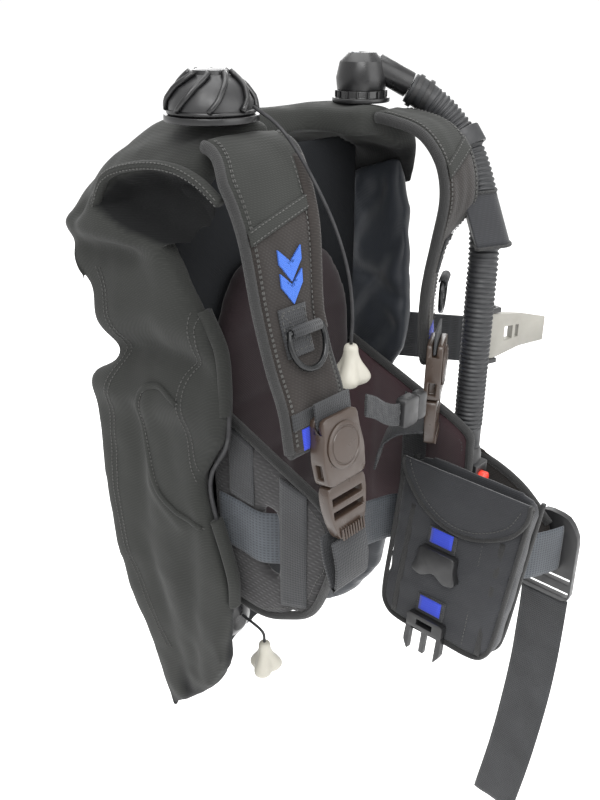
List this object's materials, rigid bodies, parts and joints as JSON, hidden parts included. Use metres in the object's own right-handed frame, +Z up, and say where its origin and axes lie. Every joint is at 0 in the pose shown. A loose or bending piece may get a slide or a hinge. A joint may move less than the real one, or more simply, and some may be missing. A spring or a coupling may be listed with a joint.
{
  "type": "buoyancy compensator vest",
  "caption": "Back-inflation diving vest with a soft air cell, shoulder straps with release buckles, a dump valve, an elbow hose with inflator, a tank band and a weight pocket.",
  "frame": {"origin": "middle of the backpack plate's flat rear face, where the tank bears", "axes": "+Z up along the wearer's back, +Y backwards out of the plate towards the tank, +X towards the wearer's left"},
  "size_m": [0.4504, 0.3933, 0.7941],
  "materials": {
    "cordura": "matte coated nylon",
    "strap_cloth": "matte woven nylon",
    "lining": "soft brushed lining",
    "webbing": "ribbed webbing",
    "grey_webbing": "ribbed webbing",
    "black_plastic": "fine moulded texture",
    "gloss_black": "polished moulding",
    "brown_plastic": "satin",
    "grey_plastic": "satin",
    "red_plastic": "satin",
    "rubber": "matte",
    "steel": "brushed stainless steel",
    "black_metal": "satin black coating"
  },
  "bodies": {
    "vest": {"backpack_plate": "black_plastic", "back_pad": "lining", "tank_band": "webbing", "cam_buckle_frame": "black_plastic", "air_cell_yoke": "cordura", "air_cell_right": "cordura", "air_cell_left": "cordura", "air_cell_panel": "cordura", "shoulder_strap_right": "strap_cloth", "shoulder_strap_left": "strap_cloth", "side_panel_right": "lining", "side_panel_left": "lining", "waist_belt": "grey_webbing", "waistband_left": "strap_cloth", "waist_buckle": "black_plastic", "waist_strap_tail": "webbing", "d_ring_tab_right": "webbing", "d_ring_tab_left": "webbing", "buckle_socket_right": "brown_plastic", "buckle_web_right": "webbing", "buckle_socket_left": "brown_plastic", "buckle_web_left": "webbing", "chest_strap_right": "webbing", "chest_socket": "black_plastic", "dump_valve_base": "gloss_black", "dump_valve_cap": "gloss_black", "dump_spring": "steel", "dump_cord": "rubber", "rear_dump_base": "gloss_black", "rear_dump_cap": "gloss_black", "rear_dump_cord": "rubber", "exhaust_base": "gloss_black", "exhaust_elbow": "gloss_black", "inflator_hose": "rubber", "inflator_body": "black_plastic", "mouthpiece": "rubber", "air_fitting": "steel", "hose_clip": "rubber", "hose_sleeve": "webbing", "weight_pocket": "cordura", "pocket_web_lower": "webbing", "bungee_cord": "rubber"},
    "lever": {"cam_lever": "grey_plastic"},
    "ring_right": {"d_ring_right": "black_metal"},
    "ring_left": {"d_ring_left": "black_metal"},
    "flap": {"pocket_flap": "cordura", "pocket_web_upper": "webbing"},
    "flap_buckle": {"pocket_socket": "black_plastic"},
    "pocket_buckle": {"pocket_plug": "black_plastic"},
    "plug_right": {"buckle_plug_right": "brown_plastic", "lower_strap_right": "webbing"},
    "plug_left": {"buckle_plug_left": "brown_plastic", "lower_strap_left": "webbing"},
    "chest_release": {"chest_plug": "black_plastic", "chest_strap_left": "webbing"},
    "dump_pull": {"dump_knob": "grey_plastic"},
    "dump_lift": {"dump_poppet": "rubber"},
    "rear_pull": {"rear_dump_knob": "grey_plastic"},
    "inflate": {"inflate_button": "red_plastic"},
    "deflate": {"deflate_button": "black_plastic"}
  },
  "joints": [
    {"name": "lever_hinge", "type": "hinge", "parent": "vest", "child": "lever", "pos_m": [0.24047, -0.10112, 0.025], "axis": [0, 0, -1], "range_deg": [0, 120]},
    {"name": "ring_right_hinge", "type": "hinge", "parent": "vest", "child": "ring_right", "pos_m": [-0.103, -0.14815, 0.136], "axis": [-1, 0, 0], "range_deg": [0, 80]},
    {"name": "ring_left_hinge", "type": "hinge", "parent": "vest", "child": "ring_left", "pos_m": [0.10323, -0.12694, 0.122], "axis": [-0.8829, -0.4695, 0], "range_deg": [0, 35]},
    {"name": "flap_hinge", "type": "hinge", "parent": "vest", "child": "flap", "pos_m": [0.06454, -0.191, -0.04199], "axis": [0, 1, 0], "range_deg": [0, 95]},
    {"name": "flap_buckle_swing", "type": "hinge", "parent": "flap", "child": "flap_buckle", "pos_m": [0.05155, -0.179, -0.11445], "axis": [0, 1, 0], "range_deg": [0, 60]},
    {"name": "pocket_buckle_swing", "type": "hinge", "parent": "vest", "child": "pocket_buckle", "pos_m": [0.04029, -0.179, -0.18556], "axis": [0, 1, 0], "range_deg": [0, 60]},
    {"name": "plug_right_slide", "type": "slide", "parent": "vest", "child": "plug_right", "axis": [0, -0.1736, -0.9848], "range_m": [0, 0.019]},
    {"name": "plug_left_slide", "type": "slide", "parent": "vest", "child": "plug_left", "axis": [0, 0, -1], "range_m": [0, 0.019]},
    {"name": "chest_release_slide", "type": "slide", "parent": "vest", "child": "chest_release", "axis": [1, 0, 0], "range_m": [0, 0.0145]},
    {"name": "dump_pull_slide", "type": "slide", "parent": "vest", "child": "dump_pull", "axis": [0, 0, -1], "range_m": [0, 0.012], "stiffness_N_per_m": 200, "springref_m": -0.004},
    {"name": "dump_lift_slide", "type": "slide", "parent": "vest", "child": "dump_lift", "axis": [0, 0, 1], "range_m": [0, 0.004], "deforming": ["dump_spring"]},
    {"name": "rear_pull_slide", "type": "slide", "parent": "vest", "child": "rear_pull", "axis": [0, 0, -1], "range_m": [0, 0.01], "stiffness_N_per_m": 200, "springref_m": -0.004},
    {"name": "inflate_press", "type": "slide", "parent": "vest", "child": "inflate", "axis": [0, 1, 0], "range_m": [0, 0.003], "stiffness_N_per_m": 600, "springref_m": -0.002},
    {"name": "deflate_press", "type": "slide", "parent": "vest", "child": "deflate", "axis": [0, 0, 1], "range_m": [0, 0.004], "stiffness_N_per_m": 600, "springref_m": -0.002}
  ],
  "couplings": [
    {"joint": "dump_lift_slide", "follows": "dump_pull_slide", "ratio": 0.3333}
  ]
}
